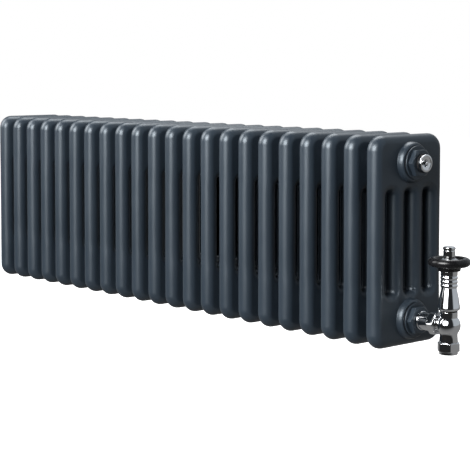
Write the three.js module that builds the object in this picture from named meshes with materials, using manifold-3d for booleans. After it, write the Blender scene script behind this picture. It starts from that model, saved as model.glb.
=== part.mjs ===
// A wall-hung steel column radiator of 22 four-column sections, with an angled thermostatic valve.
// Millimetres, +Z up. +X runs along the radiator towards the valve, and the room side faces -Y.
// The origin is where the wall brackets carry it: the middle of its length, level with the
// underside of the lower hubs, on the plane of the rear tubes' backs.

import * as THREE from "three";
import { mergeVertices } from "three/addons/utils/BufferGeometryUtils.js";
import Module from "manifold-3d";

const wasm = await Module();
wasm.setup();

// ---- Driving dimensions ----

const GAP = 0.3; // clearance that touching pieces keep
const SIDES = 12; // of a turned piece
const WHEEL_SIDES = 16;

// Radiator sections
const SECTIONS = 22;
const SECTION_PITCH = 45;
const HEIGHT = 300;
const COLUMNS = 4; // and a slot between each two
const COLUMN_PITCH = 38.5;
const TUBE_R = 12.5;
const SLOT_FOOT = 77; // above the underside, and as far below the top
const CORNER_R = 22;
const DEPTH = (COLUMNS - 1) * COLUMN_PITCH + 2 * TUBE_R;
const SLOT_WIDTH = COLUMN_PITCH - 2 * TUBE_R;

// Hubs, where the sections are welded together and the water crosses
const HUB_LEVEL = 39; // below the top and above the underside
const HUB_ROOT_R = 29.5;
const HUB_FACE_R = 26;
const HUB_BORE_R = 18;
const HUB_SIDES = 8;
const HUB_FACE = SECTION_PITCH / 2 - GAP / 2; // from the section's middle

// End fittings
const BUSH_THREAD_R = HUB_BORE_R - GAP;
const BUSH_FLANGE_R = 24;
const BUSH_HEX_R = 21;
const BUSH_FLANGE = 1.9;
const BUSH_HEX = 8;
const BUSH_DEPTH = 12; // thread inside the hub
const GASKET = 1.2;
const GASKET_R = 23.5;
const PORT_R = 10.3; // half-inch tapping
const PORT_THREAD_R = PORT_R - GAP;
const PLUG_DEPTH = 12; // thread inside the bush
const PLUG_RING = 1;
const PLUG_RING_R = 13.3;
const PLUG_HEAD_R = 12.5;
const PLUG_HEAD = 6.2;
const PLUG_CHAMFER = 1;
const BLEED_R = 3.6;
const BLEED_FOOT = -6;
const BLEED_SQUARE = 4.8; // across flats, for a 5 mm key
const AIRWAY_R = 1.2; // into the radiator
const OUTLET_R = 1;
const OUTLET_OFFSET = 7.4; // from the plug's axis

// Valve: heights are from the axis of its radiator port, radii are from its own upright axis
const VALVE_REACH = 50; // valve axis beyond the bush's face
const BALL_R = 16.4;
const PIPE_R = 7.8; // socket for a 15 mm pipe
const BORE_R = 7;
const SEAT_R = 6;
const SEAT_LEVEL = -4;
const CHAMBER_R = 10;
const BODY_TOP = 19;
const LIFT = 2.5; // disc above its seat, and the pin's whole travel
const PIN_R = 1.5;
const BELL_FOOT = 21.2;
const BELL_TOP = 52.2;
const NECK_TOP = 75.5;
const WHEEL_LEVEL = 88; // middle of the rim
const RIM_R = 23.5;
const RIM_SECTION_R = 6;
const KNOB_TOP = 109.6;

// ---- Materials ----

function material(color, roughness, metalness) {
  return new THREE.MeshStandardMaterial({ color, roughness, metalness });
}

const paint = material(0x2f353b, 0.5, 0.1);
const chrome = material(0xd8dadd, 0.08, 1);
const brass = material(0xb08d57, 0.3, 1);
const steel = material(0x9a9da1, 0.35, 1);
const rubber = material(0x141414, 0.8, 0);
const black = material(0x0d0d0e, 0.25, 0);
const plastic = material(0xd9d9d4, 0.5, 0);

// ---- Geometry helpers ----

// Turns a shape's own x, y and depth into the part's y, z and x, or an upright axis into X.
const ALONG_X = new THREE.Matrix4().makeBasis(
  new THREE.Vector3(0, 1, 0),
  new THREE.Vector3(0, 0, 1),
  new THREE.Vector3(1, 0, 0),
);

// A closed geometry as a manifold solid with its faces pointing out.
function solid(geometry) {
  const bare = geometry.clone();
  bare.deleteAttribute("normal");
  bare.deleteAttribute("uv");
  const merged = mergeVertices(bare, 1e-3);
  const corners = merged.index.array;
  const faces = [];
  for (let i = 0; i < corners.length; i += 3) {
    const [a, b, c] = corners.slice(i, i + 3);
    if (a !== b && b !== c && c !== a) faces.push(a, b, c);
  }
  return new wasm.Manifold(
    new wasm.Mesh({
      numProp: 3,
      vertProperties: new Float32Array(merged.attributes.position.array),
      triVerts: new Uint32Array(faces),
    }),
  );
}

function geometryOf(manifold) {
  const { vertProperties, triVerts } = manifold.getMesh();
  const geometry = new THREE.BufferGeometry();
  geometry.setAttribute("position", new THREE.BufferAttribute(vertProperties, 3));
  geometry.setIndex(new THREE.BufferAttribute(triVerts, 1));
  return geometry.toNonIndexed();
}

function union(...pieces) {
  return pieces.reduce((sum, piece) => sum.add(piece));
}

function cut(body, ...tools) {
  return tools.reduce((rest, tool) => rest.subtract(tool), body);
}

// A solid turned about Z from [radius, height] points, given anticlockwise with the radius to the
// right and the height up. A profile that stays off the axis is closed on itself.
function turned(profile, sides = SIDES) {
  const touchesAxis = profile.some(([r]) => r === 0);
  const points = touchesAxis ? profile : [...profile, profile[0]];
  const lathe = new THREE.LatheGeometry(
    points.map(([r, h]) => new THREE.Vector2(r, h)),
    sides,
  );
  return solid(lathe.rotateX(Math.PI / 2));
}

// A ring or tube between two radii and two heights.
function ring(inner, outer, low, high, sides = SIDES) {
  return turned([[inner, low], [outer, low], [outer, high], [inner, high]], sides);
}

// A rod about Z between two heights. Six sides make a hexagon with two corners on the X axis.
function rod(radius, low, high, sides = SIDES) {
  return turned([[0, low], [radius, low], [radius, high], [0, high]], sides);
}

function hexagon(acrossFlats, low, high) {
  return rod(acrossFlats / Math.sqrt(3), low, high, 6);
}

function alongX(manifold) {
  return solid(geometryOf(manifold).applyMatrix4(ALONG_X));
}

function box(width, depth, height, x, y, z) {
  return solid(new THREE.BoxGeometry(width, depth, height).translate(x, y, z));
}

// ---- Radiator section ----

// Its middle is at x = 0 and y = 0, and its underside at z = 0.

function columnPosition(column) {
  return (column - (COLUMNS - 1) / 2) * COLUMN_PITCH;
}

// The points of an upright rectangle that stands on y = 0, with each round corner cut across once.
function roundedOutline(width, height, radius) {
  const side = width / 2;
  const cutBack = radius * (2 - Math.SQRT2);
  return [
    new THREE.Vector2(side - cutBack, 0),
    new THREE.Vector2(side, cutBack),
    new THREE.Vector2(side, height - cutBack),
    new THREE.Vector2(side - cutBack, height),
    new THREE.Vector2(cutBack - side, height),
    new THREE.Vector2(-side, height - cutBack),
    new THREE.Vector2(-side, cutBack),
    new THREE.Vector2(cutBack - side, 0),
  ];
}

// A plate across X. Towards both faces its edges draw in by the roll, or out where it is negative.
function rolledPlate(points, halfThickness, roll) {
  const rise = Math.abs(roll);
  const plate = new THREE.ExtrudeGeometry(new THREE.Shape(points), {
    depth: 2 * (halfThickness - rise),
    bevelThickness: rise,
    bevelSize: roll,
    bevelOffset: -roll,
    bevelSegments: 1,
  });
  return solid(plate.translate(0, 0, rise - halfThickness).applyMatrix4(ALONG_X));
}

// Both headers and the four columns between them. The rolled edges make each column an
// eight-sided tube.
function slottedPlate() {
  const roll = TUBE_R * (2 - Math.SQRT2);
  const beyond = 1; // how far a slot's cutter passes the plate's faces
  const slots = [0, 1, 2].map((gap) => {
    const left = columnPosition(gap) + TUBE_R;
    const right = left + SLOT_WIDTH;
    const corners = [
      new THREE.Vector2(left, SLOT_FOOT),
      new THREE.Vector2(right, SLOT_FOOT),
      new THREE.Vector2(right, HEIGHT - SLOT_FOOT),
      new THREE.Vector2(left, HEIGHT - SLOT_FOOT),
    ];
    return rolledPlate(corners, TUBE_R + beyond, -roll - beyond);
  });
  return cut(rolledPlate(roundedOutline(DEPTH, HEIGHT, CORNER_R), TUBE_R, roll), ...slots);
}

function hubBoss(level) {
  const boss = turned(
    [
      [0, -HUB_FACE],
      [HUB_FACE_R, -HUB_FACE],
      [HUB_ROOT_R, -TUBE_R],
      [HUB_ROOT_R, TUBE_R],
      [HUB_FACE_R, HUB_FACE],
      [0, HUB_FACE],
    ],
    HUB_SIDES,
  );
  return alongX(boss).translate(0, 0, level);
}

function hubBore(level) {
  return alongX(rod(HUB_BORE_R, -SECTION_PITCH, SECTION_PITCH, HUB_SIDES)).translate(0, 0, level);
}

function makeSection() {
  const levels = [HUB_LEVEL, HEIGHT - HUB_LEVEL];
  return cut(union(slottedPlate(), ...levels.map(hubBoss)), ...levels.map(hubBore));
}

// ---- End fittings ----

// Each is turned about Z with the radiator below it, then laid along X. Its z = 0 is the plane
// where a hub's face meets the gasket.

const FLANGE_START = GASKET + 2 * GAP;
const BUSH_FACE = FLANGE_START + BUSH_FLANGE + BUSH_HEX;

function makeGasket() {
  return ring(HUB_BORE_R, GASKET_R, GAP, GAP + GASKET, HUB_SIDES);
}

// Its hexagon has a corner towards the room.
function makeBush() {
  const flangeEnd = FLANGE_START + BUSH_FLANGE;
  return cut(
    union(
      rod(BUSH_THREAD_R, -BUSH_DEPTH, flangeEnd, HUB_SIDES),
      rod(BUSH_FLANGE_R, FLANGE_START, flangeEnd),
      rod(BUSH_HEX_R, flangeEnd - 0.5, BUSH_FACE, 6).rotate(0, 0, 90),
    ),
    rod(PORT_R, -BUSH_DEPTH - 1, BUSH_FACE + 1),
  );
}

function makePlugRing() {
  return ring(PORT_R, PLUG_RING_R, GAP, GAP + PLUG_RING);
}

const PLUG_SEAT = PLUG_RING + 2 * GAP;
const PLUG_FACE = PLUG_SEAT + PLUG_HEAD;

// A plug's z = 0 is the bush's outer face.
function plugBlank() {
  return turned([
    [0, -PLUG_DEPTH],
    [PORT_THREAD_R, -PLUG_DEPTH],
    [PORT_THREAD_R, PLUG_SEAT],
    [PLUG_HEAD_R, PLUG_SEAT],
    [PLUG_HEAD_R, PLUG_FACE - PLUG_CHAMFER],
    [PLUG_HEAD_R - PLUG_CHAMFER, PLUG_FACE],
    [0, PLUG_FACE],
  ]);
}

// A dished face round the bleed screw. The air comes up past the screw, across and out at the front.
function makeVentPlug() {
  const dishR = 9.5;
  const dishDepth = 1.4;
  const crossing = 3;
  const outlet = union(
    rod(OUTLET_R, 0, OUTLET_OFFSET, 8).rotate(90, 0, 0).translate(0, 0, crossing),
    rod(OUTLET_R, crossing - OUTLET_R, PLUG_FACE + 1, 8).translate(0, -OUTLET_OFFSET, 0),
  );
  return cut(
    plugBlank(),
    rod(dishR, PLUG_FACE - dishDepth, PLUG_FACE + 1),
    rod(BLEED_R + GAP, BLEED_FOOT - GAP, PLUG_FACE),
    rod(AIRWAY_R, -PLUG_DEPTH - 1, 0, 8),
    outlet,
  );
}

function makeBlankingPlug() {
  const socketR = 4; // to the corners, for a 7 mm key
  const socketDepth = 4;
  return cut(plugBlank(), rod(socketR, PLUG_FACE - socketDepth, PLUG_FACE + 1, 6));
}

function makeBleedScrew() {
  const shoulder = PLUG_FACE - 2.5;
  const squareHeight = 5;
  const middle = PLUG_FACE - 1.5;
  const square = box(BLEED_SQUARE, BLEED_SQUARE, squareHeight, 0, 0, middle);
  return union(rod(BLEED_R, BLEED_FOOT, shoulder), square);
}

// ---- Valve body and its pipe connections ----

// A ball's outline from its lower to its upper neck.
function ballPoints(radius, lowerNeckR, upperNeckR, steps) {
  const from = -Math.sqrt(radius ** 2 - lowerNeckR ** 2);
  const to = Math.sqrt(radius ** 2 - upperNeckR ** 2);
  const points = [];
  for (let i = 0; i <= steps; i += 1) {
    const height = THREE.MathUtils.lerp(from, to, i / steps);
    points.push([Math.sqrt(radius ** 2 - height ** 2), height]);
  }
  return points;
}

const SPOUT_R = 11.3;
const SPOUT_END = -19.5; // along X, towards the radiator
const SPIGOT_R = 10.5; // threaded end that the pipe nut screws on
const SPIGOT_END = -34;
const NECK_R = 12.8; // below the ball
const NECK_FOOT = -23;
const SHOULDER_R = 12.4; // above the ball

function makeValveBody() {
  const outside = turned(
    [
      [0, SPIGOT_END],
      [SPIGOT_R, SPIGOT_END],
      [SPIGOT_R, NECK_FOOT],
      [NECK_R, NECK_FOOT],
      ...ballPoints(BALL_R, NECK_R, SHOULDER_R, 4),
      [SHOULDER_R, BODY_TOP],
      [0, BODY_TOP],
    ],
  );
  const spout = alongX(rod(SPOUT_R, SPOUT_END, 0));
  return cut(
    union(outside, spout),
    rod(PIPE_R, SPIGOT_END - 1, NECK_FOOT - 1),
    rod(SEAT_R, NECK_FOOT - 2, 0),
    rod(CHAMBER_R, SEAT_LEVEL, BODY_TOP + 1),
    alongX(rod(BORE_R, SPOUT_END - 1, 0)),
  );
}

const NUT_FOOT = -40.2;
const NUT_TOP = -23.5;
const NUT_FLATS = 28.8; // across flats
const NUT_COLLAR_R = 13.2;
const NUT_COLLAR = 3.9;
const CONE_FOOT = -38.5; // the cone that presses on the olive
const CONE_TOP = -35.5;
const OLIVE_R = 9.9;

function makePipeNut() {
  const hexFoot = NUT_FOOT + NUT_COLLAR;
  return cut(
    union(hexagon(NUT_FLATS, hexFoot, NUT_TOP), rod(NUT_COLLAR_R, NUT_FOOT, hexFoot + 0.1)),
    turned([
      [0, NUT_FOOT - 1],
      [PIPE_R, NUT_FOOT - 1],
      [PIPE_R, CONE_FOOT],
      [SPIGOT_R + GAP, CONE_TOP],
      [SPIGOT_R + GAP, NUT_TOP + 1],
      [0, NUT_TOP + 1],
    ]),
  );
}

function makePipeOlive() {
  const foot = -37.6;
  const top = SPIGOT_END - GAP;
  return turned([
    [PIPE_R, foot],
    [PIPE_R + 0.5, foot],
    [OLIVE_R, CONE_TOP - 0.5],
    [OLIVE_R, CONE_TOP],
    [PIPE_R + 0.9, top],
    [PIPE_R, top],
  ]);
}

// The union lies along X: its places are distances from the valve's axis towards the radiator.
const UNION_NUT_START = -28;
const UNION_NUT_END = -16.4;
const UNION_NUT_FLATS = 30; // across flats
const UNION_NUT_WALL = 2; // its inner collar, which pulls on the tail's flange
const TAIL_R = 13.5;
const TAIL_CHAMFER = 1;
const TAIL_NECK_R = 9.5;
const TAIL_THREAD = 14; // length inside the bush
const UNION_WASHER = 1.2;
const FLANGE_FACE = SPOUT_END - UNION_WASHER - 2 * GAP;

function makeUnionTail() {
  const start = -VALVE_REACH + GAP;
  const end = UNION_NUT_START - GAP;
  const flangeFoot = UNION_NUT_START + UNION_NUT_WALL + GAP;
  const tail = turned([
    [BORE_R, -VALVE_REACH - TAIL_THREAD],
    [PORT_THREAD_R, -VALVE_REACH - TAIL_THREAD],
    [PORT_THREAD_R, start],
    [TAIL_R - TAIL_CHAMFER, start],
    [TAIL_R, start + TAIL_CHAMFER],
    [TAIL_R, end - TAIL_CHAMFER],
    [TAIL_R - TAIL_CHAMFER, end],
    [TAIL_NECK_R, end],
    [TAIL_NECK_R, flangeFoot],
    [SPOUT_R, flangeFoot],
    [SPOUT_R, FLANGE_FACE],
    [BORE_R, FLANGE_FACE],
  ]);
  return alongX(tail);
}

function makeUnionWasher() {
  return alongX(ring(BORE_R + 1, SPOUT_R - 0.5, FLANGE_FACE + GAP, SPOUT_END - GAP));
}

function makeUnionNut() {
  return alongX(
    cut(
      hexagon(UNION_NUT_FLATS, UNION_NUT_START, UNION_NUT_END),
      rod(TAIL_NECK_R + GAP, UNION_NUT_START - 1, 0),
      rod(SPOUT_R + GAP, UNION_NUT_START + UNION_NUT_WALL, 0),
    ),
  );
}

// ---- Valve insert: what opens and closes ----

const INSERT_WASHER = 1.2;
const INSERT_FLANGE = BODY_TOP + INSERT_WASHER + 2 * GAP;
const INSERT_FLANGE_R = 12.2;
const INSERT_FLANGE_TOP = INSERT_FLANGE + 2.2;
const INSERT_SKIRT_R = CHAMBER_R - 0.4;
const INSERT_THREAD_R = 11; // the coupling nut's thread
const INSERT_TOP = 30;
const GLAND_FOOT = 24;
const GLAND_TOP = 31.5;
const GLAND_R = 4.2;
const GLAND_RING_TOP = GLAND_FOOT + 2;
const PIN_BORE_R = PIN_R + GAP;
const DISC_R = 7.8;
const DISC = 2.6;
const DISC_FOOT = SEAT_LEVEL + LIFT + GAP;
const HOLDER_R = 6.8;
const HOLDER_TOP = DISC_FOOT + 4.4;
const CAP_R = 4;
const CAP_LEVEL = 40.5; // underside of the pin's cap, which the return spring pushes up
const CAP_TOP = 43;

// A plug in the body's chamber, with a hollow skirt that the disc rises into.
function makeInsert() {
  const skirtFoot = 8;
  const skirtTop = 12;
  const skirtBoreR = 8.5;
  return turned([
    [PIN_BORE_R, skirtTop],
    [skirtBoreR, skirtTop],
    [skirtBoreR, skirtFoot],
    [INSERT_SKIRT_R, skirtFoot],
    [INSERT_SKIRT_R, INSERT_FLANGE],
    [INSERT_FLANGE_R, INSERT_FLANGE],
    [INSERT_FLANGE_R, INSERT_FLANGE_TOP],
    [INSERT_THREAD_R, INSERT_FLANGE_TOP],
    [INSERT_THREAD_R, INSERT_TOP],
    [GLAND_R, INSERT_TOP],
    [GLAND_R, GLAND_FOOT],
    [PIN_BORE_R, GLAND_FOOT],
  ]);
}

function makeInsertWasher() {
  return ring(CHAMBER_R + 0.2, INSERT_FLANGE_R - 0.1, BODY_TOP + GAP, INSERT_FLANGE - GAP);
}

function makeGlandRing() {
  return ring(PIN_BORE_R, GLAND_R - GAP, GLAND_FOOT + GAP, GLAND_RING_TOP);
}

function makeGlandNut() {
  return ring(PIN_BORE_R, GLAND_R - GAP, GLAND_RING_TOP + GAP, GLAND_TOP);
}

function makePin() {
  const foot = DISC_FOOT + 0.6;
  return turned([
    [0, foot],
    [PIN_R, foot],
    [PIN_R, CAP_LEVEL],
    [CAP_R, CAP_LEVEL],
    [CAP_R, CAP_TOP - 0.8],
    [CAP_R - 1, CAP_TOP],
    [0, CAP_TOP],
  ]);
}

function makeDisc() {
  return ring(PIN_BORE_R, DISC_R, DISC_FOOT, DISC_FOOT + DISC);
}

function makeDiscHolder() {
  return ring(PIN_BORE_R, HOLDER_R, DISC_FOOT + DISC + GAP, HOLDER_TOP);
}

class Helix extends THREE.Curve {
  constructor(radius, low, high, turns) {
    super();
    Object.assign(this, { radius, low, high, turns });
  }

  getPoint(t, target = new THREE.Vector3()) {
    const angle = 2 * Math.PI * this.turns * t;
    const height = THREE.MathUtils.lerp(this.low, this.high, t);
    return target.set(this.radius * Math.cos(angle), this.radius * Math.sin(angle), height);
  }
}

function makeReturnSpring() {
  const wire = 0.45;
  const coilR = 3.1;
  const turns = 4;
  const path = new Helix(coilR, GLAND_TOP + GAP + wire, CAP_LEVEL - GAP - wire, turns);
  const section = new THREE.Shape().absarc(0, 0, wire, 0, 2 * Math.PI);
  return solid(
    new THREE.ExtrudeGeometry(section, { extrudePath: path, steps: 32, curveSegments: 2 }),
  );
}

// ---- Thermostatic head ----

const BELL_WALL = 1.3;
const NECK_BORE_R = 10.2;
const SLEEVE_R = 9.6; // the handwheel's sleeve inside the neck
const THREAD_R = 7.2; // the setting spindle's thread
const SPINDLE_BORE_R = 3;
const SPINDLE_FLANGE = 2.5;
const SPINDLE_TOP = 81;
const SETTING_R = 7.8; // the capsule and the spindle's flange
const SLEEVE_FOOT = 66;
const HUB_FOOT = NECK_TOP + GAP;
const CLIP_LEVEL = 70;

// The bell's outer curve, widest near its foot.
const BELL_CURVE = [
  [13.2, BELL_FOOT],
  [14.9, BELL_FOOT + 0.9],
  [15.6, BELL_FOOT + 2.6],
  [14.8, 30],
  [12.9, 41],
  [10.9, 49],
  [10.5, BELL_TOP],
];

function makeBell() {
  const widest = 2; // its place in the outer curve
  const inside = BELL_CURVE.slice(widest).map(([r, h]) => [r - BELL_WALL, h]);
  inside[0] = [BELL_CURVE[widest][0] - BELL_WALL, BELL_FOOT + 2];
  return turned([[INSERT_FLANGE_R + 0.6, BELL_FOOT], ...BELL_CURVE, ...inside.reverse()]);
}

function makeCouplingNut() {
  const outerR = 13.1;
  return ring(INSERT_THREAD_R + GAP, outerR, INSERT_FLANGE + 3, INSERT_TOP + 1);
}

// Three round beads under a plain collar.
function makeNeck() {
  const foot = BELL_TOP + GAP;
  const beads = 3;
  const bead = 5.5;
  const beadEdge = 1.3;
  const beadR = 12.1;
  const valleyR = 11;
  const collarR = 11.8;
  const lip = 2; // height of the narrower ring inside its foot
  const outside = [];
  for (let i = 0; i < beads; i += 1) {
    const low = foot + i * bead;
    outside.push([valleyR, low], [beadR, low + beadEdge], [beadR, low + bead - beadEdge]);
  }
  const collar = foot + beads * bead;
  return turned([
    [NECK_BORE_R - 1, foot],
    ...outside,
    [valleyR, collar],
    [collarR, collar + 0.8],
    [collarR, NECK_TOP],
    [NECK_BORE_R, NECK_TOP],
    [NECK_BORE_R, foot + lip],
    [NECK_BORE_R - 1, foot + lip],
  ]);
}

const CAPSULE_FOOT = CAP_TOP + GAP;
const CAPSULE_NOSE_R = 2.5; // pushes the pin
const CAPSULE_TOP = 62;

// A closed capsule of liquid that swells as the room warms.
function makeCapsule() {
  const noseTop = CAP_TOP + 3;
  const cylinderFoot = CAP_TOP + 4.5;
  return turned([
    [0, CAPSULE_FOOT],
    [CAPSULE_NOSE_R, CAPSULE_FOOT],
    [CAPSULE_NOSE_R, noseTop],
    [SETTING_R, cylinderFoot],
    [SETTING_R, CAPSULE_TOP - 1],
    [SETTING_R - 0.8, CAPSULE_TOP],
    [0, CAPSULE_TOP],
  ]);
}

function makeSettingSpindle() {
  const foot = CAPSULE_TOP + GAP;
  const flangeTop = CAPSULE_TOP + SPINDLE_FLANGE;
  return turned([
    [SPINDLE_BORE_R, flangeTop + 0.5],
    [SPINDLE_BORE_R, foot],
    [SETTING_R, foot],
    [SETTING_R, flangeTop],
    [THREAD_R, flangeTop],
    [THREAD_R, SPINDLE_TOP],
    [SPINDLE_BORE_R, SPINDLE_TOP],
  ]);
}

function makeWheelClip() {
  const clip = 1;
  return ring(SLEEVE_R - 0.7, NECK_BORE_R - GAP, CLIP_LEVEL + GAP, CLIP_LEVEL + GAP + clip);
}

const WHEEL_BORE_TOP = 86;
const WHEEL_BOSS_TOP = 91;
const SCREW_R = 2;
const SCREW_BORE_R = SCREW_R + GAP;

// Sleeve, hub, dished web and round rim, in one piece. A groove in the sleeve holds the clip.
function makeHandwheel() {
  const grooveR = SLEEVE_R - 1.3;
  const grooveTop = CLIP_LEVEL + 1.6;
  const hubR = 15.6;
  const hubTop = HUB_FOOT + 3.5;
  const dishR = 16.5; // the top's well, between boss and rim
  const dishLevel = WHEEL_LEVEL - 1.5;
  const bossFootR = 12.8;
  const bossR = 12.2;
  const rim = [];
  const startAngle = -0.75 * Math.PI;
  const endAngle = 0.95 * Math.PI;
  const steps = 7;
  for (let i = 0; i <= steps; i += 1) {
    const angle = THREE.MathUtils.lerp(startAngle, endAngle, i / steps);
    rim.push([
      RIM_R + RIM_SECTION_R * Math.cos(angle),
      WHEEL_LEVEL + RIM_SECTION_R * Math.sin(angle),
    ]);
  }
  return turned(
    [
      [THREAD_R + GAP, SLEEVE_FOOT],
      [SLEEVE_R, SLEEVE_FOOT],
      [SLEEVE_R, CLIP_LEVEL],
      [grooveR, CLIP_LEVEL],
      [grooveR, grooveTop],
      [SLEEVE_R, grooveTop],
      [SLEEVE_R, HUB_FOOT],
      [hubR, HUB_FOOT],
      [hubR, hubTop],
      ...rim,
      [dishR, dishLevel],
      [bossFootR, dishLevel],
      [bossR, WHEEL_BOSS_TOP],
      [SCREW_BORE_R, WHEEL_BOSS_TOP],
      [SCREW_BORE_R, WHEEL_BORE_TOP],
      [THREAD_R + GAP, WHEEL_BORE_TOP],
    ],
    WHEEL_SIDES,
  );
}

const WASHER_R = 11.5;
const WASHER_TOP = WHEEL_BOSS_TOP + 1.6;
const KNOB_R = 8;
const KNOB_RIM_R = 8.85;
const KNOB_RIM = 4.8; // height of the knob's wider top
const SOCKET_END = KNOB_TOP - KNOB_RIM - 3; // blind end of the knob's screw socket

function makeWheelWasher() {
  return ring(SCREW_BORE_R, WASHER_R, WHEEL_BOSS_TOP + GAP, WASHER_TOP);
}

function makeKnob() {
  const foot = WASHER_TOP + GAP;
  const rim = KNOB_TOP - KNOB_RIM;
  return turned([
    [0, SOCKET_END],
    [SCREW_BORE_R, SOCKET_END],
    [SCREW_BORE_R, foot],
    [KNOB_R, foot],
    [KNOB_R, rim],
    [KNOB_RIM_R, rim + 0.5],
    [KNOB_RIM_R, KNOB_TOP - 0.8],
    [KNOB_R, KNOB_TOP],
    [0, KNOB_TOP],
  ]);
}

function makeKnobScrew() {
  const headR = 3.6;
  const headTop = WHEEL_BORE_TOP - GAP;
  const headFoot = headTop - 2.4;
  const end = SOCKET_END - GAP;
  return turned([
    [0, headFoot],
    [headR, headFoot],
    [headR, headTop],
    [SCREW_R, headTop],
    [SCREW_R, end],
    [0, end],
  ]);
}

// ---- Assembly ----

function addPiece(group, name, manifold, look) {
  const mesh = new THREE.Mesh(geometryOf(manifold), look);
  mesh.name = name;
  group.add(mesh);
  return mesh;
}

const radiator = new THREE.Group();
radiator.position.set(0, -DEPTH / 2, -(HUB_LEVEL - HUB_FACE_R));

const section = makeSection();
for (let i = 0; i < SECTIONS; i += 1) {
  const name = `section_${String(i + 1).padStart(2, "0")}`;
  const mesh = addPiece(radiator, name, section, paint);
  mesh.position.x = (i - (SECTIONS - 1) / 2) * SECTION_PITCH;
}

// A group whose +Z points out of one end of the radiator, with z = 0 on the hub's face.
function endPort(side, level) {
  const port = new THREE.Group();
  port.rotation.y = (side * Math.PI) / 2;
  port.position.set(side * ((SECTIONS / 2) * SECTION_PITCH - GAP / 2), 0, level);
  radiator.add(port);
  return port;
}

const TOP_PORT = HEIGHT - HUB_LEVEL;
const ports = {
  valve_end_top: endPort(1, TOP_PORT),
  valve_end_bottom: endPort(1, HUB_LEVEL),
  far_end_top: endPort(-1, TOP_PORT),
  far_end_bottom: endPort(-1, HUB_LEVEL),
};
for (const [place, port] of Object.entries(ports)) {
  addPiece(port, `bush_${place}`, makeBush(), paint);
  addPiece(port, `bush_gasket_${place}`, makeGasket(), rubber);
}

function plugGroup(port) {
  const group = new THREE.Group();
  group.position.z = BUSH_FACE;
  port.add(group);
  return group;
}

const vent = plugGroup(ports.valve_end_top);
addPiece(vent, "vent_plug", makeVentPlug(), chrome);
addPiece(vent, "vent_plug_ring", makePlugRing(), rubber);
addPiece(vent, "bleed_screw", makeBleedScrew(), chrome);

const blank = plugGroup(ports.far_end_top);
addPiece(blank, "blanking_plug", makeBlankingPlug(), chrome);
addPiece(blank, "blanking_plug_ring", makePlugRing(), rubber);

const valve = new THREE.Group();
valve.position.set((SECTIONS / 2) * SECTION_PITCH - GAP / 2 + BUSH_FACE + VALVE_REACH, 0, HUB_LEVEL);
radiator.add(valve);
addPiece(valve, "valve_body", makeValveBody(), chrome);
addPiece(valve, "pipe_nut", makePipeNut(), chrome);
addPiece(valve, "pipe_olive", makePipeOlive(), brass);
addPiece(valve, "union_tail", makeUnionTail(), chrome);
addPiece(valve, "union_washer", makeUnionWasher(), rubber);
addPiece(valve, "union_nut", makeUnionNut(), chrome);
addPiece(valve, "valve_insert", makeInsert(), brass);
addPiece(valve, "insert_washer", makeInsertWasher(), rubber);
addPiece(valve, "gland_ring", makeGlandRing(), rubber);
addPiece(valve, "gland_nut", makeGlandNut(), brass);
addPiece(valve, "valve_pin", makePin(), steel);
addPiece(valve, "valve_disc", makeDisc(), rubber);
addPiece(valve, "disc_holder", makeDiscHolder(), brass);
addPiece(valve, "return_spring", makeReturnSpring(), steel);
addPiece(valve, "coupling_nut", makeCouplingNut(), brass);
addPiece(valve, "bell_housing", makeBell(), chrome);
addPiece(valve, "ribbed_neck", makeNeck(), chrome);
addPiece(valve, "sensor_capsule", makeCapsule(), steel);
addPiece(valve, "setting_spindle", makeSettingSpindle(), plastic);
addPiece(valve, "wheel_clip", makeWheelClip(), steel);
addPiece(valve, "handwheel", makeHandwheel(), black);
addPiece(valve, "wheel_washer", makeWheelWasher(), chrome);
addPiece(valve, "top_knob", makeKnob(), chrome);
addPiece(valve, "knob_screw", makeKnobScrew(), steel);

export default radiator;
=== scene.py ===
"""The looks of a steel column radiator with an angled thermostatic valve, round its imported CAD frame.

Places come from the frame's own boxes, in metres. Shapes are drawn in millimetres: a turned piece's
profile is a list of (radius, height along its axis), with a fillet radius where a corner is rounded.
"""

import math

import bpy
from mathutils import Matrix, Vector
from mathutils.geometry import delaunay_2d_cdt


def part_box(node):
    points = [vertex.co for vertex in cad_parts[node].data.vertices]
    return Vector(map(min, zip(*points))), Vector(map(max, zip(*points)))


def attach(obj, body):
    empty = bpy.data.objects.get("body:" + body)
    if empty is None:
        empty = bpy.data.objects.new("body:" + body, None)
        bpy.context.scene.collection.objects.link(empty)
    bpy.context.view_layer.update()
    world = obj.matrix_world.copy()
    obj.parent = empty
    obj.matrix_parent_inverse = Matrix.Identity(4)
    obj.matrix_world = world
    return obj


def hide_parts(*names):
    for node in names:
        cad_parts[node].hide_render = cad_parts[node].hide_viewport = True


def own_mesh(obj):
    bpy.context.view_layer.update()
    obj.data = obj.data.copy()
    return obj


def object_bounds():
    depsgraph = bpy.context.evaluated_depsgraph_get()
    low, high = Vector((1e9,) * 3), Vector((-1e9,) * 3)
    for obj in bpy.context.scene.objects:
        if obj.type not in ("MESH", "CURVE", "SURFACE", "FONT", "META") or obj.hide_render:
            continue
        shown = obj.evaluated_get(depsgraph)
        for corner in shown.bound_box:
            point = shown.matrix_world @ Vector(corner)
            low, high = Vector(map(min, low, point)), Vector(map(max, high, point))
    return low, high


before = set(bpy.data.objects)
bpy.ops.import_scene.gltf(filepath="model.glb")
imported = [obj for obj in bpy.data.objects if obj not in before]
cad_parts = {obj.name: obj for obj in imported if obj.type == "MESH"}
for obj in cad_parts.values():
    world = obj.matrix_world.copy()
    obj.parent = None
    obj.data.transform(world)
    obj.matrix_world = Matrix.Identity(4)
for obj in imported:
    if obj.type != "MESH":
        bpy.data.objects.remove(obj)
cad_low, cad_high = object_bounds()

MM = 0.001
FULL_TURN = 2 * math.pi


# ---- Places, from the frame ----


def centre_of(node):
    low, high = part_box(node)
    return (low + high) / 2


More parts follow.
